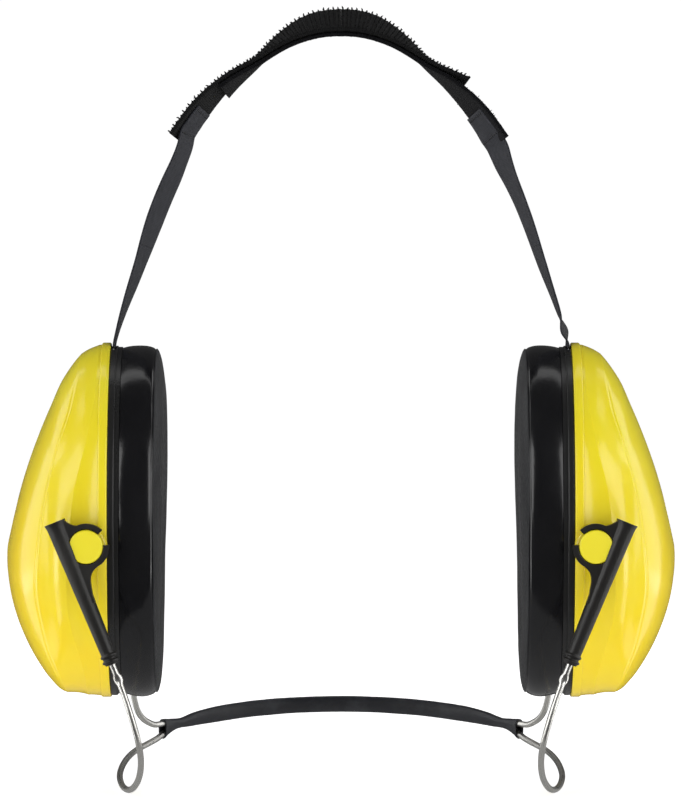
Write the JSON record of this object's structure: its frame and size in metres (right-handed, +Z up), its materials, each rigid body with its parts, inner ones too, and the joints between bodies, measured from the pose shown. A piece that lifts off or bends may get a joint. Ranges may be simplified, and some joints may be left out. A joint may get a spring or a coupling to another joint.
{
  "type": "earmuff hearing protector",
  "caption": "Neckband earmuff hearing protector: cups on sliding arms over spring wires behind the neck, with padded cushions and an adjustable strap over the head.",
  "frame": {"origin": "midway between the two ear cushions, level with the middle of the cups", "axes": "+X along the ear axis to the right cup seen from the front, +Y towards the neck sleeve at the back, +Z up to the strap over the crown"},
  "size_m": [0.1904, 0.1426, 0.2239],
  "materials": {
    "cup_yellow": "moulded, glossy, deep yellow",
    "button_yellow": "moulded, satin",
    "ring_black": "moulded, glossy",
    "plate_black": "moulded, matte",
    "vinyl_black": "glossy vinyl skin",
    "cushion_foam": "soft open-cell foam",
    "liner_foam": "soft open-cell foam",
    "arm_black": "moulded, satin",
    "spring_steel": "drawn and plated spring wire",
    "sleeve_black": "extruded, satin",
    "ribbon_fabric": "smooth woven ribbon",
    "hook_fabric": "ribbed hook tape",
    "loop_fabric": "brushed loop tape"
  },
  "bodies": {
    "neckband": {"front_wire_core": "spring_steel", "rear_wire_core": "spring_steel", "neck_sleeve": "sleeve_black", "hook_strap": "hook_fabric", "loop_strap": "loop_fabric", "left_strap_ribbon": "ribbon_fabric", "right_strap_ribbon": "ribbon_fabric"},
    "left_wires": {"left_front_wire": "spring_steel", "left_rear_wire": "spring_steel"},
    "left_arms": {"left_front_arm": "arm_black", "left_rear_arm": "arm_black"},
    "left_cup": {"left_cup_shell": "cup_yellow", "left_front_pivot_button": "button_yellow", "left_rear_pivot_button": "button_yellow", "left_seat_ring": "ring_black", "left_cushion_back_plate": "plate_black", "left_cushion_cover": "vinyl_black", "left_cushion_foam": "cushion_foam", "left_foam_liner": "liner_foam"},
    "right_wires": {"right_front_wire": "spring_steel", "right_rear_wire": "spring_steel"},
    "right_arms": {"right_front_arm": "arm_black", "right_rear_arm": "arm_black"},
    "right_cup": {"right_cup_shell": "cup_yellow", "right_front_pivot_button": "button_yellow", "right_rear_pivot_button": "button_yellow", "right_seat_ring": "ring_black", "right_cushion_back_plate": "plate_black", "right_cushion_cover": "vinyl_black", "right_cushion_foam": "cushion_foam", "right_foam_liner": "liner_foam"}
  },
  "joints": [
    {"name": "left_spread", "type": "hinge", "parent": "neckband", "child": "left_wires", "pos_m": [-0.0532, 0.0623, -0.0631], "axis": [0, 0, -1], "range_deg": [0, 20], "stiffness_Nm_per_rad": 0.6, "deforming": ["left_strap_ribbon"]},
    {"name": "left_height", "type": "slide", "parent": "left_wires", "child": "left_arms", "axis": [-0.3762, 0, 0.9265], "range_m": [-0.0025, 0.014]},
    {"name": "left_tilt", "type": "hinge", "parent": "left_arms", "child": "left_cup", "pos_m": [-0.07105, 0, -0.0066], "axis": [0, 1, 0], "range_deg": [-10, 10]},
    {"name": "right_spread", "type": "hinge", "parent": "neckband", "child": "right_wires", "pos_m": [0.0532, 0.0623, -0.0631], "axis": [0, 0, 1], "range_deg": [0, 20], "stiffness_Nm_per_rad": 0.6, "deforming": ["right_strap_ribbon"]},
    {"name": "right_height", "type": "slide", "parent": "right_wires", "child": "right_arms", "axis": [0.3762, 0, 0.9265], "range_m": [-0.0025, 0.014]},
    {"name": "right_tilt", "type": "hinge", "parent": "right_arms", "child": "right_cup", "pos_m": [0.07105, 0, -0.0066], "axis": [0, 1, 0], "range_deg": [-10, 10]}
  ]
}
